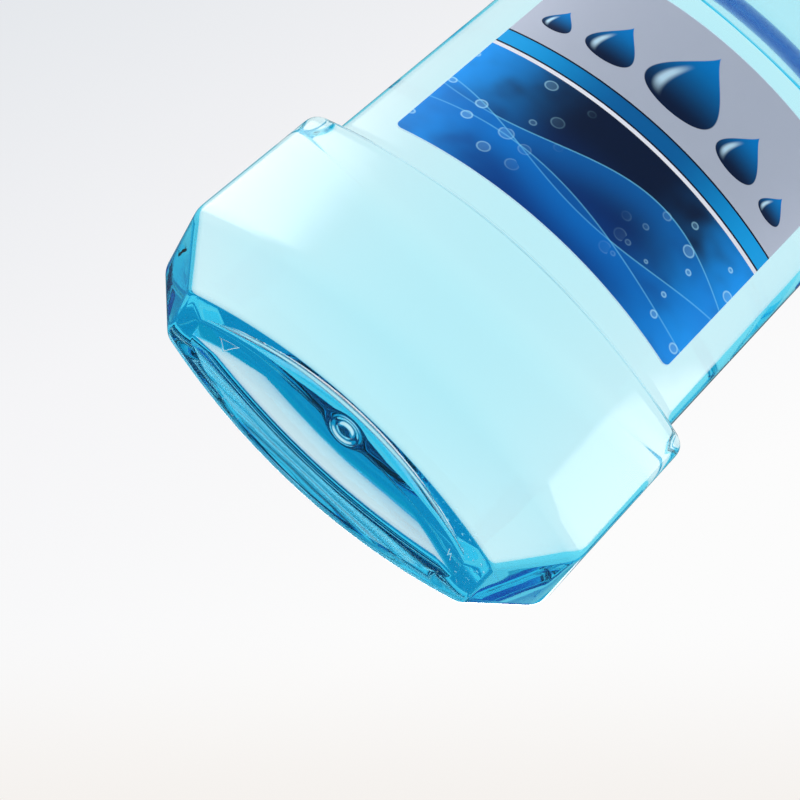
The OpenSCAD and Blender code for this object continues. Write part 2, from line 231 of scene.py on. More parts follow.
def neck_rings():
    """The moulded neck: stub, support ring, tamper bead, thread and rounded rim."""
    profile = [(STUB_R + 0.2, NECK_Z + 0.3), (STUB_R, NECK_Z + 0.8), (STUB_R, SUPPORT_Z - 0.4)]
    profile += [(STUB_R + 0.3, SUPPORT_Z - 0.08), (STUB_R + 0.6, SUPPORT_Z)]
    profile += [(SUPPORT_R - 0.5, SUPPORT_Z), (SUPPORT_R - 0.1, SUPPORT_Z + 0.12)]
    profile += [(SUPPORT_R, SUPPORT_Z + 0.5), (SUPPORT_R, FINISH_Z - 0.5)]
    profile += [(SUPPORT_R - 0.1, FINISH_Z - 0.12), (SUPPORT_R - 0.5, FINISH_Z)]
    profile += [(NECK_R + 0.3, FINISH_Z), (NECK_R, FINISH_Z + 0.1), (NECK_R, FINISH_Z + 0.4)]
    profile += [(NECK_R, BEAD_Z - 0.1), (NECK_R + 0.1, BEAD_Z), (NECK_R + 0.9, BEAD_Z)]
    profile += [(NECK_R + 1.1, BEAD_Z + 0.15), (NECK_R + 0.95, BEAD_Z + 0.4)]
    profile += [(NECK_R + 0.15, BEAD_Z + 1.55), (NECK_R, BEAD_Z + 1.7)]
    rings = [[(x, y, z) for x, y in circle(r)] for r, z in profile]
    z = 191.3
    while z < 204.3:
        ring = []
        for i, (x, y) in enumerate(circle(1)):
            depth = 0.0
            for turn in range(2):
                along = i / RING + turn
                if along > THREAD_TURNS:
                    continue
                fade = min(along, THREAD_TURNS - along) / 0.12
                off = abs(z - THREAD_Z - THREAD_PITCH * along)
                side = min(max((0.95 - off) / 0.55, 0.0), 1.0)
                depth = max(depth, THREAD_DEPTH * smooth(side) * min(fade, 1.0))
            ring.append((x * (NECK_R + depth), y * (NECK_R + depth), z))
        rings.append(ring)
        z += 0.25
    rim = [(NECK_R, 204.55), (NECK_R - 0.1, 204.9), (NECK_R - 0.4, RIM_Z)]
    rim += [(BORE_R + 0.4, RIM_Z), (BORE_R + 0.1, 204.95), (BORE_R, 204.6), (BORE_R, 204.0)]
    rim += [(BORE_R, 200.0), (BORE_R, 193.0), (BORE_R, 187.0), (BORE_R, NECK_Z + 1.5)]
    rim += [(BORE_R + 0.15, NECK_Z + 0.9), (BORE_R + 0.7, NECK_Z + 0.4)]
    return rings + [[(x, y, z) for x, y in circle(r)] for r, z in rim]


def inner_level(level, by, rise):
    """A level that far in from the outside. Its height changes by rise times as much."""
    return (level[0] + by * rise, shrink(level[1], by), level[2])


def main_levels():
    """The levels between which the body's edges are rounded, from the foot up."""
    foot, body, panel = section(*FOOT), section(*BODY), section(*PANEL)
    return [
        (0, shrink(foot, FOOT_EDGE_R), 0),
        (0, foot, 0),
        (CREASE_Z, body, 0),
        (BLOCK_Z, body, LEDGE_RISE),
        (BLOCK_Z, panel, LEDGE_RISE + BACK_SLOPE),
        (PANEL_Z, panel, 0),
        (UPPER_Z, body, 0),
        (SHOULDER_Z, body, 0),
    ]


def body_rings(levels, ledge_steps):
    """The body's rings over the main levels, with the edge at each level rounded."""
    rest, foot, crease, top, low, high, upper, shoulder = levels
    levels = rounded(rest, foot, crease, FOOT_EDGE_R) + rounded(foot, crease, top, CREASE_R)
    levels += rounded(crease, top, low, BLOCK_EDGE_R) + rounded(top, low, high, PANEL_FOOT_R)
    levels += rounded(low, high, upper, LEDGE_EDGE_R, ledge_steps)
    levels += rounded(high, upper, shoulder, LEDGE_EDGE_R, ledge_steps)
    return rings_of(levels)


def inside_rings(by):
    """The inside below the shoulder, from the hollow up, that far in from the outside."""
    rest, *above = main_levels()
    rises = [1, 0, -1, -1, 0, 0, 0]
    levels = [(by, rest[1], 0)]
    levels += [inner_level(level, by, rise) for level, rise in zip(above, rises)]
    return hollow_rings(by) + body_rings(levels, 5)


def outside_rings():
    return hollow_rings(0) + body_rings(main_levels(), 6) + shoulder_rings(0)


def paint(red, green, blue):
    """A colour as a screen shows it, 0 to 255 each, in the linear values of a shader."""
    shares = [value / 255 for value in (red, green, blue)]
    return (*[((c + 0.055) / 1.055) ** 2.4 if c > 0.04 else c / 12.92 for c in shares], 1.0)


def plain_material(name, colour, roughness):
    """A material and its shader, with colour and roughness as a start."""
    material = bpy.data.materials.new(name)
    material.use_nodes = True
    shader = material.node_tree.nodes["Principled BSDF"]
    shader.inputs["Base Color"].default_value = colour
    shader.inputs["Roughness"].default_value = roughness
    return material, shader


def add(tree, kind, values=(), **settings):
    """A new node. Each of its sockets named in values gets a link or a value."""
    node = tree.nodes.new(kind)
    for name, setting in settings.items():
        setattr(node, name, setting)
    for key, value in values.items() if isinstance(values, dict) else enumerate(values):
        if isinstance(value, bpy.types.NodeSocket):
            tree.links.new(value, node.inputs[key])
        elif value is not None:
            node.inputs[key].default_value = value
    return node


def calc(tree, operation, *values):
    return add(tree, "ShaderNodeMath", values, operation=operation).outputs[0]


def ease(tree, value, start, end):
    """Goes smoothly from 0 to 1 while value goes from start to end."""
    values = (value, start, end, 0.0, 1.0)
    return add(tree, "ShaderNodeMapRange", values, interpolation_type="SMOOTHSTEP").outputs[0]


def over(tree, share, under, top):
    """The colour top, laid over the colour under by a share."""
    return add(tree, "ShaderNodeMix", {0: share, 6: under, 7: top}, data_type="RGBA").outputs[2]


def effect(name, inputs, outputs):
    """A group for several materials: the group, what it is given and what it puts out."""
    tree = bpy.data.node_groups.new(name, "ShaderNodeTree")
    for title, start in inputs.items():
        kind = "NodeSocketColor" if isinstance(start, tuple) else "NodeSocketFloat"
        tree.interface.new_socket(title, in_out="INPUT", socket_type=kind).default_value = start
    for title in outputs:
        kind = "NodeSocketColor" if title == "Color" else "NodeSocketFloat"
        tree.interface.new_socket(title, in_out="OUTPUT", socket_type=kind)
    given = tree.nodes.new("NodeGroupInput").outputs
    return tree, given, tree.nodes.new("NodeGroupOutput").inputs


# Moulded plastic is never quite even: it has slow waves from the mould, and fine scuffs
# where it is handled
moulded, given, out = effect(
    "moulded_surface",
    {"Base": (0.8, 0.8, 0.8, 1.0), "Roughness": 0.3, "Wave Scale": 60.0, "Scuffs": 0.2},
    ["Color", "Roughness", "Height"],
)
place = add(moulded, "ShaderNodeTexCoord").outputs["Object"]
wave_scale = given["Wave Scale"]
wave = add(moulded, "ShaderNodeTexNoise", {"Vector": place, "Scale": wave_scale, "Detail": 1.5})
cloud = add(moulded, "ShaderNodeTexNoise", {"Vector": place, "Scale": 45.0, "Detail": 3.0})
streak_way = add(moulded, "ShaderNodeMapping", {"Vector": place, "Rotation": (0.5, 0.3, 0.9)})
streak_way.inputs["Scale"].default_value = (1.0, 1.0, 0.06)
streak = add(
    moulded, "ShaderNodeTexNoise", {"Vector": streak_way.outputs[0], "Scale": 1300.0, "Detail": 4.0}
)
scuff = calc(moulded, "MULTIPLY", ease(moulded, streak.outputs[0], 0.58, 0.72), given["Scuffs"])
scuff = calc(moulded, "MULTIPLY", scuff, ease(moulded, cloud.outputs[0], 0.42, 0.68))
moulded.links.new(calc(moulded, "MULTIPLY_ADD", scuff, 0.35, given["Roughness"]), out["Roughness"])
moulded.links.new(calc(moulded, "MULTIPLY_ADD", scuff, -0.04, wave.outputs[0]), out["Height"])
worn = over(moulded, calc(moulded, "MULTIPLY", scuff, 0.5), given["Base"], (0.7, 0.71, 0.72, 1.0))
moulded.links.new(worn, out["Color"])


def mould(material, shader, wave_scale, scuffs, lift):
    """Gives a material the moulded surface, over the colour and roughness it has."""
    tree = material.node_tree
    values = {
        "Base": tuple(shader.inputs["Base Color"].default_value),
        "Roughness": shader.inputs["Roughness"].default_value,
        "Wave Scale": wave_scale,
        "Scuffs": scuffs,
    }
    surface = add(tree, "ShaderNodeGroup", values, node_tree=moulded).outputs
    tree.links.new(surface["Color"], shader.inputs["Base Color"])
    tree.links.new(surface["Roughness"], shader.inputs["Roughness"])
    bump = add(tree, "ShaderNodeBump", {"Strength": 1.0, "Distance": lift})
    tree.links.new(surface["Height"], bump.inputs["Height"])
    tree.links.new(bump.outputs[0], shader.inputs["Normal"])


def let_lamps_through(material, shader):
    """Lets a lamp's light through clear plastic or liquid, to what lies behind it."""
    tree = material.node_tree
    ray = add(tree, "ShaderNodeLightPath").outputs["Is Shadow Ray"]
    open_way = add(tree, "ShaderNodeBsdfTransparent", {"Color": (0.97, 0.98, 0.985, 1.0)})
    mixed = add(tree, "ShaderNodeMixShader", (ray, shader.outputs[0], open_way.outputs[0]))
    tree.links.new(mixed.outputs[0], tree.nodes["Material Output"].inputs["Surface"])


clear_pet, shader = plain_material("clear_pet", (0.985, 0.995, 1.0, 1.0), 0.0)
shader.inputs["IOR"].default_value = PET_IOR
shader.inputs["Transmission Weight"].default_value = 1
mould(clear_pet, shader, 55.0, 0.1, 0.00006)
let_lamps_through(clear_pet, shader)
# The bottle is scuffed most where it slides on its foot
tree = clear_pet.node_tree
level = add(tree, "ShaderNodeSeparateXYZ", (add(tree, "ShaderNodeTexCoord").outputs["Object"],))
rubbed = calc(tree, "MULTIPLY_ADD", ease(tree, level.outputs["Z"], 0.0012, 0.0002), 1.4, 0.1)
tree.links.new(rubbed, next(n for n in tree.nodes if n.type == "GROUP").inputs["Scuffs"])
wet_pet, shader = plain_material("wet_pet", (1.0, 1.0, 1.0, 1.0), 0.0)
shader.inputs["IOR"].default_value = PET_IOR / LIQUID_IOR
shader.inputs["Transmission Weight"].default_value = 1
let_lamps_through(wet_pet, shader)

outside, neck = outside_rings(), neck_rings()
inside = inside_rings(WALL)
dry = shoulder_rings(WALL)
level_ring = 7  # the shoulder's ring at which the mouthwash stands
wet_from = len(outside) + len(neck) + len(dry) - 1 - level_ring
bottle = lofted(
    "blown_bottle",
    outside + neck + dry[::-1] + inside[::-1],
    [(0, 0, HOLLOW_RISE - GATE_H), (0, 0, HOLLOW_RISE + WALL)],
    [clear_pet, wet_pet],
    lambda j: 1 if j >= wet_from else 0,
)
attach(bottle, "bottle")
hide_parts("bottle")

# The mould's marks: fine raised lines in the bottom hollow, which the bottle's mould leaves
# there, of the same plastic as the bottle. One is a triangle, one a short zigzag.


def raised_line(corners, thick):
    """Points and faces of a fine five-sided bead on the hollow's face, mitred at its corners.
    It's a closed ring where the last corner is the first."""
    # Across the bead: shares of its half width, and how far it stands out of the face
    bead = ((-1, 0.0), (-0.5, 0.12), (0.5, 0.12), (1, 0.0), (0, -0.1))
    around = len(bead)
    edge = outline(section(*HOLLOW))
    closed = corners[0] == corners[-1]
    path = []
    for start, end in zip(corners, corners[1:]):
        path += [Vector(start), Vector(start).lerp(Vector(end), 0.5)]
    if not closed:
        path.append(Vector(corners[-1]))
    points, faces, count = [], [], len(path)
    for k, place in enumerate(path):
        onward = path[(k + 1) % count] - place if closed or k < count - 1 else place - path[k - 1]
        arriving = place - path[k - 1] if closed or k else onward
        across = [Vector((-way.y, way.x)).normalized() for way in (arriving, onward)]
        mitre = (across[0] + across[1]).normalized()
        inner = thick / mitre.dot(across[0])
        outer = min(inner, 1.5 * thick)
        left, right = (inner, outer) if arriving.cross(onward) > 0 else (outer, inner)
        for side, drop in bead:
            x, y = place + mitre * side * (left if side > 0 else right)
            way = min(edge, key=lambda p: abs(atan2(p[1], p[0]) - atan2(y, x)))
            points.append((x, y, hollow_height(x, y, hypot(*way)) - drop - 0.01))
    for k in range(count if closed else count - 1):
        ring, following = k * around, (k + 1) % count * around
        for j in range(around):
            a, b = j, (j + 1) % around
            faces.append((ring + a, ring + b, following + b, following + a))
    if not closed:
        last = len(points) - 1
        faces += [tuple(range(around)), tuple(range(last, last - around, -1))]
    return points, faces


for name, corners in (
    ("triangle_mark", [(-29.0, -0.4), (-25.3, -0.2), (-27.3, 2.8), (-29.0, -0.4)]),
    ("zigzag_mark", [(29.6, -0.3), (30.0, 1.3), (30.4, -0.1), (30.9, 1.4)]),
):
    points, faces = raised_line(corners, 0.13)
    mark = solid(name, points, faces, [0] * len(faces), [clear_pet])
    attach(mark, "bottle")

# The mouthwash: pale blue liquid that fills the bottle up to a level in its shoulder. It
# takes the colour out of light on its way through, and only its top face shines. It lies a
# hair's breadth inside the wall, so that no two faces are in one place.
liquid_materials = []
for name, colour, ior in (
    ("mouthwash", (1.0, 1.0, 1.0, 1.0), 1.0),
    ("mouthwash_top", (0.2, 0.8, 0.96, 1.0), LIQUID_IOR),
):
    liquid, shader = plain_material(name, colour, 0.0)
    shader.inputs["IOR"].default_value = ior
    shader.inputs["Transmission Weight"].default_value = 1
    let_lamps_through(liquid, shader)
    tint = liquid.node_tree.nodes.new("ShaderNodeVolumeAbsorption")
    tint.inputs["Color"].default_value = (0.02, 0.85, 0.965, 1)
    tint.inputs["Density"].default_value = 13.0
    output = liquid.node_tree.nodes["Material Output"]
    liquid.node_tree.links.new(tint.outputs["Volume"], output.inputs["Volume"])
    liquid_materials.append(liquid)
liquid_gap = 0.04
liquid_in = WALL + liquid_gap
rings = inside_rings(liquid_in) + shoulder_rings(liquid_in)[: level_ring + 1]
mouthwash = lofted(
    "liquid",
    rings,
    [(0, 0, HOLLOW_RISE + liquid_in), (0, 0, rings[-1][0][2])],
    liquid_materials,
    lambda j: 1 if j == len(rings) else 0,
)
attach(mouthwash, "bottle")
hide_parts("mouthwash")

# The labels: thin plastic films with a plain pale reverse, printed and glued flat on the
# panel's curved front and back, with rounded corners and a fine pale rim.
LABEL_CORNER_R, LABEL_T, LABEL_GLUE, LABEL_RIM, LABEL_HIGH = 1.6, 0.12, 0.015, 0.25, 135.0
FRONT_HALF_W, FRONT_LOW, BACK_HALF_W, BACK_LOW = 36.9, 60.6, 31.0, 85.5

ribbon, given, out = effect(
    "ribbon",
    {"X": 0.0, "Z": 0.0, "Height": 0.0, "Swing": 5.0, "Length": 15.0, "Shift": 0.0, "Depth": 8.0},
    ["Line", "Veil"],
)
angle = calc(ribbon, "DIVIDE", given["X"], given["Length"])
wave = calc(ribbon, "SINE", calc(ribbon, "ADD", angle, given["Shift"]))
crest = calc(ribbon, "MULTIPLY_ADD", wave, given["Swing"], given["Height"])
above = calc(ribbon, "SUBTRACT", given["Z"], crest)
ribbon.links.new(ease(ribbon, calc(ribbon, "ABSOLUTE", above), 0.3, 0.05), out["Line"])
veil = ease(ribbon, above, calc(ribbon, "MULTIPLY", given["Depth"], -1.0), 0.0)
veil = calc(ribbon, "MULTIPLY", veil, calc(ribbon, "LESS_THAN", above, 0.0))
ribbon.links.new(veil, out["Veil"])

drop, given, out = effect("drop", {"X": 0.0, "Z": 0.0, "Size": 1.0}, ["Fill", "Shine", "Height"])
u = calc(drop, "DIVIDE", given["X"], given["Size"])
v = calc(drop, "DIVIDE", given["Z"], given["Size"])
bow = calc(drop, "MULTIPLY_ADD", v, calc(drop, "MULTIPLY", v, -1.0), 1.0)
bow = calc(drop, "SQRT", calc(drop, "MAXIMUM", bow, 0.0))
half = calc(drop, "MULTIPLY", calc(drop, "MULTIPLY", calc(drop, "SUBTRACT", 1.0, v), bow), 0.62)
inside_by = calc(drop, "SUBTRACT", half, calc(drop, "ABSOLUTE", u))
drop.links.new(ease(drop, inside_by, 0.0, 0.03), out["Fill"])
along = calc(drop, "DIVIDE", u, calc(drop, "MAXIMUM", half, 0.01))
shine = ease(drop, calc(drop, "ABSOLUTE", calc(drop, "ADD", along, 0.6)), 0.2, 0.02)
shine = calc(drop, "MULTIPLY", shine, ease(drop, v, -0.9, -0.45))
drop.links.new(calc(drop, "MULTIPLY", shine, ease(drop, v, 0.35, -0.2)), out["Shine"])
drop.links.new(v, out["Height"])

print_tree, given, out = effect(
    "label_print",
    {"X": 0.0, "Z": 0.0, "Low": 60.0, "Band": 100.0, "Drops": 1.0},
    ["Color", "Roughness", "Metallic"],
)
x, z = given["X"], given["Z"]
spot = add(print_tree, "ShaderNodeCombineXYZ", (x, z, 0.0)).outputs[0]
side = calc(print_tree, "ABSOLUTE", x)
climb = calc(print_tree, "DIVIDE", calc(print_tree, "SUBTRACT", z, given["Low"]), 36.0)

# The blue field: navy in the middle and azure at both sides, with veils and air bubbles
cloud = add(print_tree, "ShaderNodeTexNoise", {"Vector": spot, "Scale": 0.07, "Detail": 2.0})
deep = over(print_tree, ease(print_tree, climb, 0.0, 0.8), paint(6, 58, 128), paint(13, 26, 54))
lit_edge = calc(print_tree, "POWER", ease(print_tree, side, 8.0, 40.0), 1.4)
lit_edge = calc(print_tree, "MULTIPLY", lit_edge, ease(print_tree, cloud.outputs[0], 0.2, 0.6))
field = over(print_tree, lit_edge, deep, paint(0, 150, 242))
# Each wave's height, swing, length, shift along, depth of its veil, and strength
for height, swing, length, shift, depth, strength in (
    (82.0, 5.0, 13.0, 0.4, 12.0, 0.45),
    (76.0, -6.5, 16.0, 1.3, 10.0, 0.4),
    (70.0, 4.0, 21.0, 2.6, 14.0, 0.35),
):
    values = {"X": x, "Z": z, "Height": height, "Swing": swing, "Length": length}
    values |= {"Shift": shift, "Depth": depth}
    wave = add(print_tree, "ShaderNodeGroup", values, node_tree=ribbon)
    veil = calc(print_tree, "MULTIPLY", wave.outputs["Veil"], strength)
    field = over(print_tree, veil, field, paint(0, 122, 214))
    line = calc(print_tree, "MULTIPLY", wave.outputs["Line"], strength)
    field = over(print_tree, line, field, paint(120, 214, 250))
cell_spot = add(print_tree, "ShaderNodeVectorMath", (spot,), operation="SCALE")
cell_spot.inputs["Scale"].default_value = 0.16
cell = add(print_tree, "ShaderNodeTexVoronoi", {"Vector": cell_spot.outputs[0], "Scale": 1.0})
cell.voronoi_dimensions = "2D"
chance = add(print_tree, "ShaderNodeSeparateColor", (cell.outputs["Color"],)).outputs
bubble_r = calc(print_tree, "MULTIPLY_ADD", chance[0], 0.2, 0.05)
from_rim = calc(print_tree, "SUBTRACT", cell.outputs["Distance"], bubble_r)
bubble = ease(print_tree, calc(print_tree, "ABSOLUTE", from_rim), 0.05, 0.005)
filled = calc(print_tree, "MULTIPLY", ease(print_tree, from_rim, 0.01, 0.0), 0.25)
bubble = calc(print_tree, "MAXIMUM", bubble, filled)
bubble = calc(print_tree, "MULTIPLY", bubble, calc(print_tree, "GREATER_THAN", chance[1], 0.45))
bubble = calc(print_tree, "MULTIPLY", bubble, ease(print_tree, side, 6.0, 30.0))
field = over(print_tree, calc(print_tree, "MULTIPLY", bubble, 0.6), field, paint(170, 228, 252))

# The silver field, with drops of water in navy and azure
grain = add(print_tree, "ShaderNodeTexNoise", {"Vector": spot, "Scale": 6.0, "Detail": 4.0})
silver = over(print_tree, grain.outputs[0], paint(176, 183, 201), paint(192, 197, 211))
# Each drop's place across and up the label, and its size
for drop_x, drop_z, size in (
    (0.0, 119.5, 11.5),
    (-17.5, 115.0, 7.0),
    (17.5, 115.0, 7.0),
    (-29.5, 112.0, 4.0),
    (29.5, 112.0, 4.0),
):
    values = {
        "X": calc(print_tree, "SUBTRACT", x, drop_x),
        "Z": calc(print_tree, "SUBTRACT", z, drop_z),
        "Size": calc(print_tree, "MULTIPLY", given["Drops"], size),
    }
    bead = add(print_tree, "ShaderNodeGroup", values, node_tree=drop)
    lit = ease(print_tree, bead.outputs["Height"], -0.9, 0.9)
    body = over(print_tree, lit, paint(16, 30, 62), paint(0, 128, 206))
    body = over(print_tree, bead.outputs["Shine"], body, paint(196, 228, 246))
    silver = over(print_tree, bead.outputs["Fill"], silver, body)

# The stripes between the two fields, from the white one up
ends = ease(print_tree, side, 6.0, 36.0)
stripe = over(print_tree, ends, paint(2, 90, 150), paint(0, 156, 224))
above = calc(print_tree, "SUBTRACT", z, given["Band"])
colour = field
for start, layer in (
    (-3.75, paint(222, 224, 232)),
    (-2.65, paint(16, 28, 50)),
    (-2.15, stripe),
    (2.15, paint(16, 28, 50)),
    (2.65, silver),
):
    colour = over(print_tree, calc(print_tree, "GREATER_THAN", above, start), colour, layer)
print_tree.links.new(colour, out["Color"])
is_silver = calc(print_tree, "GREATER_THAN", above, 2.65)
print_tree.links.new(calc(print_tree, "MULTIPLY", is_silver, 0.25), out["Metallic"])
rough = calc(print_tree, "MULTIPLY_ADD", grain.outputs[0], 0.1, 0.3)
print_tree.links.new(rough, out["Roughness"])


def printed_film(name, low, band, drops, side):
    """The material of a label's printed face, which reads upright from its own side."""
    film, shader = plain_material(name, (0.5, 0.5, 0.6, 1.0), 0.35)
    tree = film.node_tree
    spot = add(tree, "ShaderNodeTexCoord").outputs["Object"]
    way = add(tree, "ShaderNodeSeparateXYZ", (spot,)).outputs
    values = {
        "X": calc(tree, "MULTIPLY", way["X"], -1000.0 * side),
        "Z": calc(tree, "MULTIPLY", way["Z"], 1000.0),
        "Low": low,
        "Band": band,
        "Drops": drops,
    }
    artwork = add(tree, "ShaderNodeGroup", values, node_tree=print_tree)
    for effect_name, socket in (
        ("Color", "Base Color"),
        ("Roughness", "Roughness"),
        ("Metallic", "Metallic"),
    ):
        tree.links.new(artwork.outputs[effect_name], shader.inputs[socket])
    shader.inputs["Specular IOR Level"].default_value = 0.14
    return film


def film_label(name, half_w, low, side, materials):
    """A film on the panel's front, where side is -1, or its back: print, then rim and reverse."""
    panel = section(*PANEL)
    middle = panel[1] - panel[2]
    straight = half_w - LABEL_CORNER_R
    turns = [straight + LABEL_CORNER_R * sin(pi * k / 16) for k in range(1, 9)]
    turns = sorted(turns + [half_w - LABEL_RIM])
    columns = [-x for x in turns[::-1]] + [straight * (k / 24 - 1) for k in range(49)] + turns
    height = LABEL_HIGH - low
    rows = [r for r in [0.0, LABEL_RIM] + [2.0 + k for k in range(100)] if r < height - 2]
    rows += [height - LABEL_RIM, height]
    points, faces, kinds = [], [], []
    for reach in (panel[2] + LABEL_T, panel[2] + LABEL_GLUE):
        for x in columns:
            past = max(abs(x) - straight, 0.0)
            cut = LABEL_CORNER_R - sqrt(max(LABEL_CORNER_R**2 - past**2, 0.0))
            for r in rows:
                z = low + cut + r * (height - 2 * cut) / height
                a = x / panel[2]
                points.append((reach * sin(a), side * (middle + reach * cos(a)), z))
    tall, wide = len(rows), len(columns)
    back = tall * wide
    for i in range(wide - 1):
        for j in range(tall - 1):
            a, b = i * tall + j, (i + 1) * tall + j
            faces.append((a, b, b + 1, a + 1))
            rim = j in (0, tall - 2) or i in (0, wide - 2)
            kinds.append(1 if rim else 0)
            faces.append((back + a, back + a + 1, back + b + 1, back + b))
            kinds.append(1)
    border = [(i * tall, (i + 1) * tall) for i in range(wide - 1)]
    border += [((i + 1) * tall + tall - 1, i * tall + tall - 1) for i in range(wide - 1)]
    border += [(j + 1, j) for j in range(tall - 1)]
    border += [((wide - 1) * tall + j, (wide - 1) * tall + j + 1) for j in range(tall - 1)]
    for a, b in border:
        faces.append((a, b, back + b, back + a))
        kinds.append(1)
    return solid(name, points, faces, kinds, materials)


film_back, shader = plain_material("film_back", paint(196, 226, 240), 0.5)
mould(film_back, shader, 90.0, 0.3, 0.00002)
front_print = printed_film("front_print", FRONT_LOW, 99.95, 1.0, -1)
label = film_label("front_film", FRONT_HALF_W, FRONT_LOW, -1, [front_print, film_back])
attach(label, "bottle")
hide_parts("front_label")
back_print = printed_film("back_print", BACK_LOW - 12, 96.0, 0.7, 1)
label = film_label("back_film", BACK_HALF_W, BACK_LOW, 1, [back_print, film_back])
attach(label, "bottle")
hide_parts("back_label")

# The tamper band: the ring of white polypropylene that broke off the cap when it was
# first opened. It lies loose on the support ring, with the stubs of its bridges on top.
RIB_COUNT, RIB_STEPS, BRIDGES, STUB_H = 72, 8, 12, 0.18


def bridge_share(i):
    """1 where a point of a ring of the cap or band is at a torn bridge, and 0 between."""
    share = i / (RIB_COUNT * RIB_STEPS) * BRIDGES % 1
    return smooth((0.06 - abs(share - 0.5)) / 0.03)


def torn_ring(r, z, stub):
    """A ring of the band or cap, with torn stubs that stand out by a height."""
    ring = []
    for i, (x, y) in enumerate(circle(r, RIB_COUNT * RIB_STEPS)):
        ring.append((x, y, z + stub * bridge_share(i)))
    return ring


white_pp, shader = plain_material("white_pp", paint(238, 240, 242), 0.34)
shader.inputs["IOR"].default_value = 1.49
mould(white_pp, shader, 70.0, 0.35, 0.00003)
# Each ring's radius, its height, and its share of the stubs' height
profile = [(15.5, 187.3, 0), (15.7, 187.1, 0), (17.9, 187.1, 0), (18.2, 187.35, 0)]
profile += [(18.2, 188.6, 0), (18.2, 190.2, 0), (18.05, 190.42, 0.3), (17.8, 190.5, 1)]
profile += [(17.1, 190.5, 1), (16.8, 190.45, 0.3), (16.6, 190.25, 0), (16.6, 188.65, 0)]
profile += [(16.4, 188.35, 0), (15.8, 188.3, 0), (15.5, 188.05, 0)]
band = lofted(
    "torn_band", [torn_ring(r, z, STUB_H * stub) for r, z, stub in profile], [], [white_pp]
)
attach(band, "bottle")
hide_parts("tamper_band")

# The liner: a disc of fine-celled foam, punched from sheet and pressed into the cap. The
# bottle's rim has left a shallow ring in it.
foam, shader = plain_material("foam", paint(240, 240, 234), 0.75)
tree = foam.node_tree
spot = add(tree, "ShaderNodeTexCoord").outputs["Object"]
cell = add(tree, "ShaderNodeTexVoronoi", {"Vector": spot, "Scale": 2600.0})
bump = add(tree, "ShaderNodeBump", {"Strength": 0.6, "Distance": 0.00008})
tree.links.new(cell.outputs["Distance"], bump.inputs["Height"])
tree.links.new(bump.outputs[0], shader.inputs["Normal"])
mottle = add(tree, "ShaderNodeTexNoise", {"Vector": spot, "Scale": 300.0, "Detail": 3.0})
tree.links.new(
    over(tree, mottle.outputs[0], paint(232, 232, 224), paint(246, 246, 242)),
    shader.inputs["Base Color"],
)
profile = [(6.0, 205.12), (12.9, 205.12), (13.2, 205.16), (15.1, 205.16), (15.4, 205.12)]
profile += [(16.3, 205.12), (16.4, 205.22), (16.4, 205.95), (16.3, 206.05), (8.0, 206.05)]
liner = lofted(
    "foam_disc",
    [[(x, y, z) for x, y in circle(r, 144)] for r, z in profile],
    [(0, 0, 205.12), (0, 0, 206.05)],
    [foam],
)
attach(liner, "liner")
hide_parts("cap_liner")

# The screw cap: injection moulded in one piece of white polypropylene, with fine grip
# ribs outside, a helical ridge inside, and turned rings and the gate's mark on its top.
CAP_ROOT_R, CAP_BORE_R, RIB_DEPTH = 18.2, 16.7, 0.6
RIDGE_DEPTH, RIDGE_Z, RIDGE_TURNS = 1.2, 194.9, 1.1


def ribbed_ring(z, share):
    """A ring of the cap's skirt whose ribs stand out by a share of their full depth."""
    ring = []
    heights = (0.0, 0.1, 0.55, 0.94, 1.0, 0.94, 0.55, 0.1)
    for i, (x, y) in enumerate(circle(1, RIB_COUNT * RIB_STEPS)):
        r = CAP_ROOT_R + RIB_DEPTH * share * heights[i % RIB_STEPS]
        ring.append((x * r, y * r, z))
    return ring


def bore_ring(z):
    """A ring of the cap's bore, with the ridge where it passes."""
    ring = []
    count = RIB_COUNT * RIB_STEPS
    for i, (x, y) in enumerate(circle(1, count)):
        depth = 0.0
        for turn in range(2):
            along = i / count + turn
            if along <= RIDGE_TURNS:
                off = abs(z - RIDGE_Z - THREAD_PITCH * along)
                fade = min(min(along, RIDGE_TURNS - along) / 0.08, 1.0)
                depth = max(depth, RIDGE_DEPTH * fade * smooth((0.95 - off) / 0.55))
        ring.append((x * (CAP_BORE_R - depth), y * (CAP_BORE_R - depth), z))
    return ring


plain_rings = [(9.0, 206.1), (16.3, 206.1), (16.65, 206.0), (CAP_BORE_R, 205.7)]
rings = [torn_ring(r, z, 0) for r, z in plain_rings]
level = 205.2
while level > 191.6:
    rings.append(bore_ring(level))
    level -= 0.3
rings += [torn_ring(CAP_BORE_R, 191.4, 0), torn_ring(CAP_BORE_R + 0.2, 191.05, -0.3)]
rings += [torn_ring(17.1, 191.0, -STUB_H), torn_ring(17.7, 191.0, -STUB_H)]
rings += [torn_ring(18.0, 191.02, -0.05), ribbed_ring(191.2, 0.0), ribbed_ring(191.45, 0.7)]
rings += [ribbed_ring(191.8, 1.0), ribbed_ring(194.0, 1.0), ribbed_ring(198.0, 1.0)]
rings += [ribbed_ring(202.0, 1.0), ribbed_ring(203.8, 1.0), ribbed_ring(204.2, 0.85)]
rings += [ribbed_ring(204.45, 0.4), ribbed_ring(204.6, 0.0), ribbed_ring(205.2, 0.0)]
crown = [(18.2, 206.5), (18.17, 206.95), (18.0, 207.3), (17.7, 207.54), (17.3, 207.67)]
crown += [(16.8, 207.7), (16.0, 207.7), (15.75, 207.62), (15.5, 207.55), (12.0, 207.52)]
crown += [(6.0, 207.5), (1.6, 207.5), (1.3, 207.42), (0.8, 207.4), (0.7, 207.52), (0.35, 207.56)]
rings += [torn_ring(r, z, 0) for r, z in crown]
cap = lofted("ribbed_cap", rings, [(0, 0, 206.1), (0, 0, 207.54)], [white_pp])
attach(cap, "cap")
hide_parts("screw_cap")

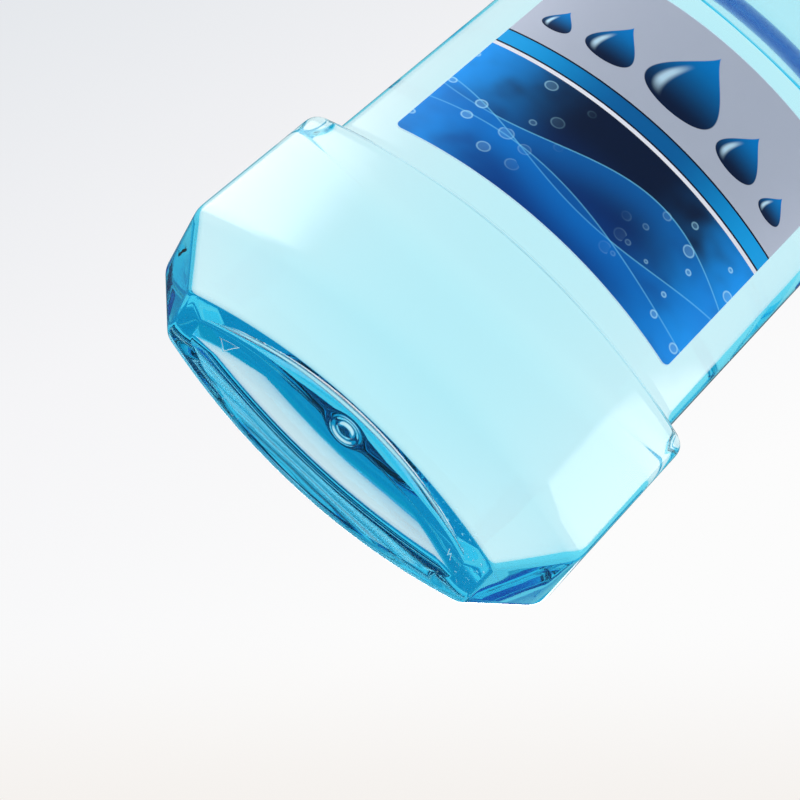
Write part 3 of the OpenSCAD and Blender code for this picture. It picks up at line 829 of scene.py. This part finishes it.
# The dosing cup: clear polypropylene, thin and a little milky, injection moulded and
# pushed over the cap mouth down. Three raised lines on its wall measure the dose.
clear_pp, shader = plain_material("clear_pp", (0.93, 0.965, 0.98, 1.0), 0.09)
shader.inputs["IOR"].default_value = 1.49
shader.inputs["Transmission Weight"].default_value = 1
mould(clear_pp, shader, 80.0, 0.35, 0.00003)
let_lamps_through(clear_pp, shader)
# The cup's inside from its mouth up, then its top and outside, as (radius, height)
inner = [(18.87, 192.75), (18.86, 195.0), (18.86, 200.0), (18.86, 205.0), (18.86, 207.4)]
inner += [(18.6, 207.72), (17.4, 207.72), (16.75, 207.74), (16.6, 208.0)]
for k in range(1, 12):
    inner.append((mix(16.6, 15.5, k / 11), mix(208.0, 220.7, k / 11)))
inner += [(15.3, 221.2), (14.9, 221.55), (14.4, 221.7), (8.0, 221.7), (2.0, 221.7)]
outer = [(2.0, 222.62), (8.0, 222.65), (13.8, 222.65), (14.5, 222.7), (15.0, 222.66)]
outer += [(15.6, 222.3), (16.1, 221.7), (16.35, 221.2)]
lines = []
for height in (218.4, 215.2, 212.0):
    lines += [(height + 0.3, 0), (height + 0.12, 1), (height - 0.12, 1), (height - 0.3, 0)]
# Each level of the outer wall, and whether the raised lines' crest is there
wall = [(220.4, 0)] + lines + [(210.0, 0), (209.2, 0)]
skirt = [(17.66, 208.9), (17.9, 208.72), (18.6, 208.7), (19.3, 208.6), (19.7, 208.35)]
skirt += [(19.84, 207.9), (19.85, 205.0), (19.85, 200.0), (19.85, 196.0), (19.85, 194.1)]
skirt += [(19.95, 193.8), (20.3, 193.55), (20.44, 193.3), (20.44, 192.85), (20.3, 192.63)]
skirt += [(19.8, 192.6), (19.1, 192.6)]
rings = [[(x, y, z) for x, y in circle(r, 192)] for r, z in inner[::-1] + skirt[::-1]]
for z, raised in wall[::-1]:
    r = mix(16.45, 17.6, (221.1 - z) / 12.1)
    ring = []
    for i, (x, y) in enumerate(circle(1, 192)):
        across = abs(i / 192 - 0.75)
        reach = r + 0.14 * raised * smooth((0.1 - across) / 0.012)
        ring.append((x * reach, y * reach, z))
    rings.append(ring)
rings += [[(x, y, z) for x, y in circle(r, 192)] for r, z in outer[::-1]]
cup = lofted("measuring_cup", rings, [(0, 0, 221.7), (0, 0, 222.62)], [clear_pp])
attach(cup, "cup")
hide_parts("dosing_cup")

# The ground, light and camera. The ground shows from above only, because the camera
# looks up from under it as the photograph does.
ground_mesh = bpy.data.meshes.new("ground")
ground_mesh.from_pydata([(-3, -3, 0), (3, -3, 0), (3, 3, 0), (-3, 3, 0)], [], [(0, 1, 2, 3)])
ground = bpy.data.objects.new("ground", ground_mesh)
ground.location.z = -0.0006  # just clear of the foot
bpy.context.scene.collection.objects.link(ground)
# Seen through the bottle it is evenly bright. It isn't mirrored, and it fades out far away
paper, shader = plain_material("ground_paper", (0.8, 0.81, 0.82, 1.0), 0.6)
tree = paper.node_tree
path = add(tree, "ShaderNodeLightPath").outputs
glow = add(tree, "ShaderNodeEmission", {"Color": (0.96, 0.97, 0.98, 1.0)}).outputs[0]
choices = (path["Is Transmission Ray"], shader.outputs[0], glow)
lit = add(tree, "ShaderNodeMixShader", choices).outputs[0]
mirrored = calc(tree, "SUBTRACT", path["Is Glossy Ray"], path["Is Transmission Ray"])
unseen = calc(tree, "MAXIMUM", add(tree, "ShaderNodeNewGeometry").outputs["Backfacing"], mirrored)
spot = add(tree, "ShaderNodeTexCoord").outputs["Object"]
away = add(tree, "ShaderNodeVectorMath", (spot,), operation="LENGTH").outputs["Value"]
far = calc(tree, "MULTIPLY", ease(tree, away, 0.3, 1.2), path["Is Camera Ray"])
unseen = calc(tree, "MAXIMUM", unseen, far)
see_through = add(tree, "ShaderNodeBsdfTransparent").outputs[0]
ground_look = add(tree, "ShaderNodeMixShader", (unseen, lit, see_through)).outputs[0]
tree.links.new(ground_look, tree.nodes["Material Output"].inputs["Surface"])
ground.data.materials.append(paper)

# The backdrop: pale grey that turns white across the picture, a little warmer at its foot
world = bpy.data.worlds.new("studio")
bpy.context.scene.world = world
world.use_nodes = True
tree = world.node_tree
plain = tree.nodes["Background"]
plain.inputs["Color"].default_value = (0.9, 0.93, 0.97, 1)
plain.inputs["Strength"].default_value = 0.55
toward = add(tree, "ShaderNodeTexCoord").outputs["Generated"]
# How far a direction lies across the picture and up it
across = add(tree, "ShaderNodeVectorMath", (toward,), operation="DOT_PRODUCT")
across.inputs[1].default_value = (0.934, 0.292, -0.233)
upward = add(tree, "ShaderNodeVectorMath", (toward,), operation="DOT_PRODUCT")
upward.inputs[1].default_value = (-0.669, -0.506, 0.544)
place = add(tree, "ShaderNodeMapRange", (across.outputs["Value"], -0.22, 0.08, 0.0, 1.0))
fall = add(tree, "ShaderNodeValToRGB", (place.outputs[0],))
for start, shade in ((0.07, (229, 232, 236)), (0.3, (238, 239, 242)), (0.52, (245, 245, 247))):
    stop = fall.color_ramp.elements.new(start)
    stop.color = paint(*shade)
fall.color_ramp.elements[0].color = paint(228, 231, 235)
fall.color_ramp.elements[-1].color = paint(252, 252, 252)
foot = ease(tree, upward.outputs["Value"], -0.08, -0.16)
shown = over(tree, calc(tree, "MULTIPLY", foot, 0.6), fall.outputs[0], paint(240, 234, 228))

# What the bottle mirrors and lets through: pale all round and azure high in front. What it
# only mirrors is dark below the ceiling. Dull surfaces are lit by the plain grey alone
path = add(tree, "ShaderNodeLightPath").outputs
axes = add(tree, "ShaderNodeSeparateXYZ", (toward,)).outputs
ceiling = ease(tree, axes["Z"], 0.75, 0.97)
around = over(tree, ceiling, paint(253, 254, 255), paint(226, 235, 240))
high_front = calc(
    tree, "MULTIPLY", ease(tree, axes["Y"], -0.1, -0.4), ease(tree, axes["Z"], 0.3, 0.55)
)
around = over(tree, high_front, around, paint(24, 176, 200))
mirrored = calc(tree, "SUBTRACT", 1.0, path["Is Transmission Ray"])
dark = calc(tree, "MULTIPLY", ease(tree, axes["Z"], 0.95, 0.7), mirrored)
around = over(tree, dark, around, paint(84, 92, 98))
by_bottle = calc(tree, "MAXIMUM", path["Is Glossy Ray"], path["Is Transmission Ray"])
seen = calc(tree, "MAXIMUM", path["Is Camera Ray"], by_bottle)
backdrop = add(tree, "ShaderNodeBackground", (over(tree, by_bottle, shown, around),))
choice = add(tree, "ShaderNodeMixShader", (seen, plain.outputs[0], backdrop.outputs[0]))
tree.links.new(choice.outputs[0], tree.nodes["World Output"].inputs["Surface"])


def softbox(name, place, width, height, watts, soft):
    """A studio lamp aimed at the bottle, whose light fades over a share of it at its edges."""
    lamp = bpy.data.lights.new(name, "AREA")
    lamp.shape = "RECTANGLE"
    lamp.size, lamp.size_y, lamp.energy = width, height, watts
    lamp.use_nodes = True
    tree = lamp.node_tree
    spot = add(tree, "ShaderNodeNewGeometry").outputs["Parametric"]
    way = add(tree, "ShaderNodeSeparateXYZ", (spot,)).outputs
    from_edge = [calc(tree, "PINGPONG", way[axis], 0.5) for axis in ("X", "Y")]
    fade = calc(tree, "MULTIPLY", *[ease(tree, value, 0.0, soft / 2) for value in from_edge])
    tree.links.new(fade, tree.nodes["Emission"].inputs["Strength"])
    holder = bpy.data.objects.new(name, lamp)
    holder.location = place
    toward = Vector((0, 0, 0.1)) - Vector(place)
    holder.rotation_euler = toward.to_track_quat("-Z", "Y").to_euler()
    holder.visible_camera = holder.visible_transmission = False
    bpy.context.scene.collection.objects.link(holder)


softbox("key_softbox", (-1.1, -0.4, 0.65), 1.3, 0.8, 19, 0.5)
softbox("fill_softbox", (0.873, -0.464, 0.582), 0.8, 0.61, 5.5, 0.12)
softbox("back_softbox", (0.1, 1.1, 0.5), 0.9, 0.6, 11, 0.5)

lens = bpy.data.cameras.new("camera")
lens.sensor_width = 36
lens.lens = 120.66
camera = bpy.data.objects.new("camera", lens)
camera.matrix_world = Matrix(
    (
        (0.73748, -0.66922, 0.09091, 0.0495427),
        (-0.36251, -0.50582, -0.78277, -0.4010815),
        (0.56983, 0.54432, -0.61564, -0.2951084),
        (0, 0, 0, 1),
    )
)
bpy.context.scene.collection.objects.link(camera)
bpy.context.scene.camera = camera

scene = bpy.context.scene
scene.view_settings.view_transform = "Standard"
scene.cycles.max_bounces = 96
scene.cycles.transmission_bounces = 96
scene.cycles.glossy_bounces = 48
scene.cycles.transparent_max_bounces = 64
scene.cycles.use_denoising = True
